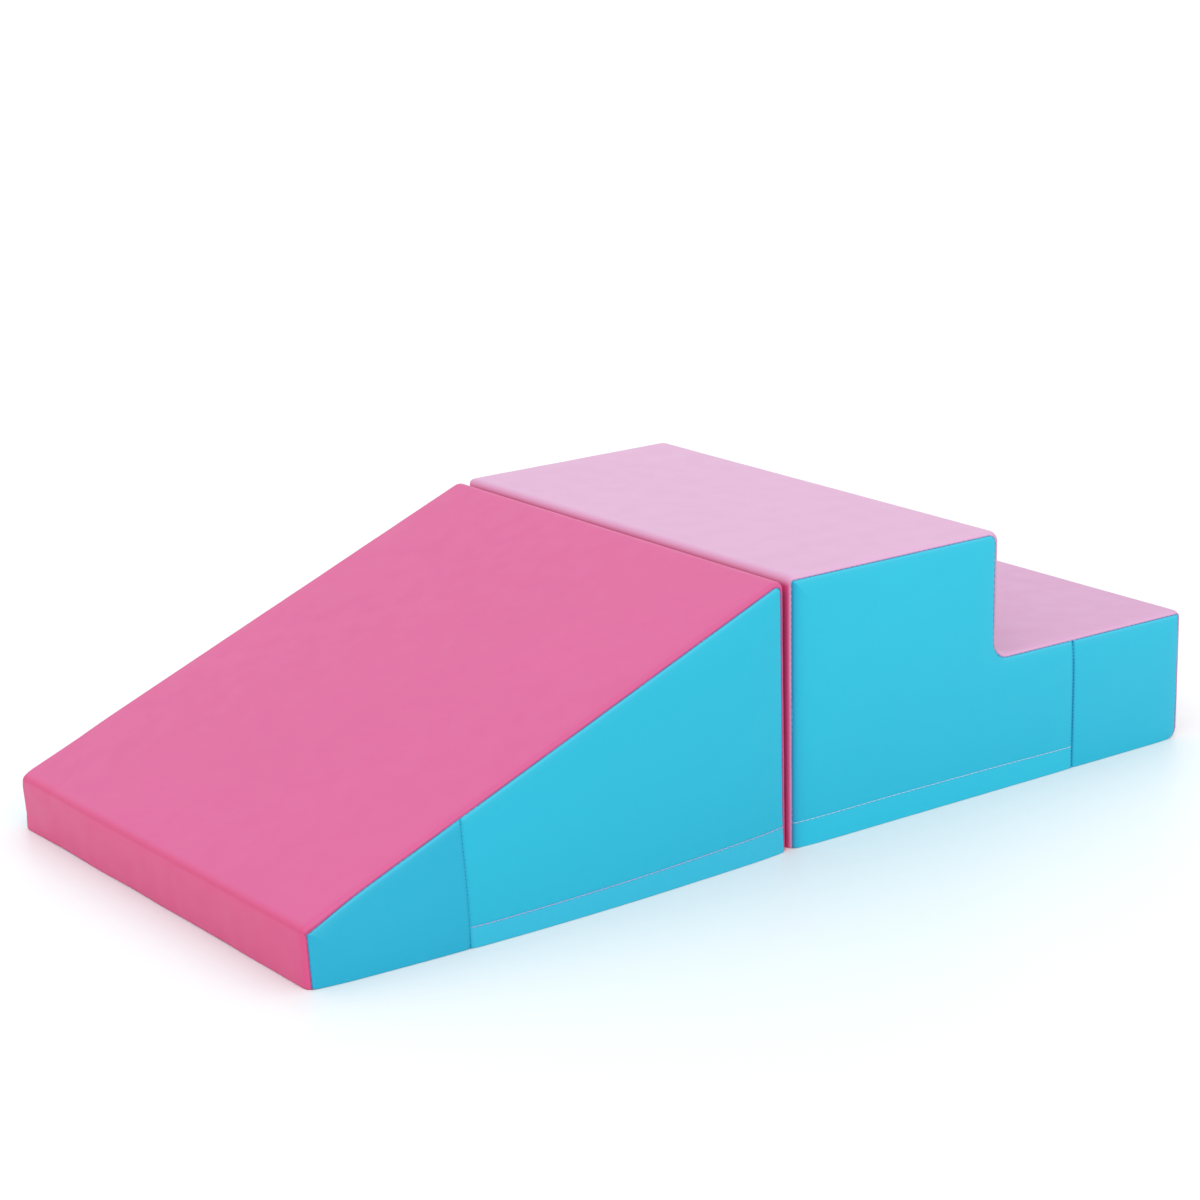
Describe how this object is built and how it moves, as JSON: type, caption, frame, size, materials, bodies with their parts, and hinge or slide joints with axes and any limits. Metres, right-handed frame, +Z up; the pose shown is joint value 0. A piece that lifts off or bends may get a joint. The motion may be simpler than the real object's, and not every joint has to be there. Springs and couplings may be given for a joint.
{
  "type": "soft play foam climber",
  "caption": "Foam slide ramp and two-level step block that stand back to back, each with a foam core in a zipped vinyl cover, held together by hook and loop strips.",
  "frame": {"origin": "on the floor, under the middle of the two blocks, midway between the slide's toe and the foot of the steps", "axes": "+X from the slide's toe to the foot of the steps, +Y across to the right of a child who sits on top and faces down the slide, +Z up"},
  "size_m": [1.0168, 0.524, 0.254],
  "materials": {
    "dark_pink_vinyl": "satin",
    "light_pink_vinyl": "satin",
    "cyan_vinyl": "satin",
    "grip_fabric": "matt",
    "foam": "matt",
    "zip_tape": "matt",
    "zip_coil": "matt",
    "slider_metal": "satin",
    "hook_tape": "matt",
    "loop_tape": "matt"
  },
  "bodies": {
    "steps": {"steps_core_layer_1": "foam", "steps_core_layer_2": "foam", "steps_core_layer_3": "foam", "steps_core_layer_4": "foam", "steps_base_panel": "grip_fabric", "steps_tread_cover": "light_pink_vinyl", "steps_side_panel_left": "cyan_vinyl", "steps_side_panel_right": "cyan_vinyl", "steps_end_panel_left": "cyan_vinyl", "steps_end_panel_right": "cyan_vinyl", "steps_zip_lower_tape": "zip_tape", "steps_zip_upper_tape": "zip_tape", "steps_zip_coil": "zip_coil", "steps_loop_strip_lower": "loop_tape", "steps_loop_strip_upper": "loop_tape"},
    "ramp": {"ramp_core_layer_1": "foam", "ramp_core_layer_2": "foam", "ramp_core_layer_3": "foam", "ramp_core_layer_4": "foam", "ramp_base_panel": "grip_fabric", "ramp_slide_cover": "dark_pink_vinyl", "ramp_side_panel_left": "cyan_vinyl", "ramp_side_panel_right": "cyan_vinyl", "ramp_toe_panel_left": "cyan_vinyl", "ramp_toe_panel_right": "cyan_vinyl", "ramp_zip_lower_tape": "zip_tape", "ramp_zip_upper_tape": "zip_tape", "ramp_zip_coil": "zip_coil", "ramp_hook_strip_lower": "hook_tape", "ramp_hook_strip_upper": "hook_tape"},
    "ramp_flap_left": {"ramp_hem_flap_left": "cyan_vinyl"},
    "ramp_flap_right": {"ramp_hem_flap_right": "cyan_vinyl"},
    "ramp_slider": {"ramp_zip_slider": "slider_metal"},
    "steps_flap_left": {"steps_hem_flap_left": "cyan_vinyl"},
    "steps_flap_right": {"steps_hem_flap_right": "cyan_vinyl"},
    "steps_slider": {"steps_zip_slider": "slider_metal"}
  },
  "joints": [
    {"name": "ramp_pull_apart", "type": "slide", "parent": "steps", "child": "ramp", "axis": [-1, 0, 0], "range_m": [0, 0.3]},
    {"name": "ramp_flap_left_lift", "type": "hinge", "parent": "ramp", "child": "ramp_flap_left", "pos_m": [-0.1815, -0.2615, 0.024], "axis": [-1, 0, 0], "range_deg": [0, 75]},
    {"name": "ramp_flap_right_lift", "type": "hinge", "parent": "ramp", "child": "ramp_flap_right", "pos_m": [-0.1815, 0.2615, 0.024], "axis": [1, 0, 0], "range_deg": [0, 75]},
    {"name": "ramp_zip_run", "type": "slide", "parent": "ramp", "child": "ramp_slider", "axis": [1, 0, 0], "range_m": [0, 0.315]},
    {"name": "steps_flap_left_lift", "type": "hinge", "parent": "steps", "child": "steps_flap_left", "pos_m": [0.1815, -0.253, 0.024], "axis": [-1, 0, 0], "range_deg": [0, 75]},
    {"name": "steps_flap_right_lift", "type": "hinge", "parent": "steps", "child": "steps_flap_right", "pos_m": [0.1815, 0.253, 0.024], "axis": [1, 0, 0], "range_deg": [0, 75]},
    {"name": "steps_zip_run", "type": "slide", "parent": "steps", "child": "steps_slider", "axis": [-1, 0, 0], "range_m": [0, 0.315]}
  ]
}
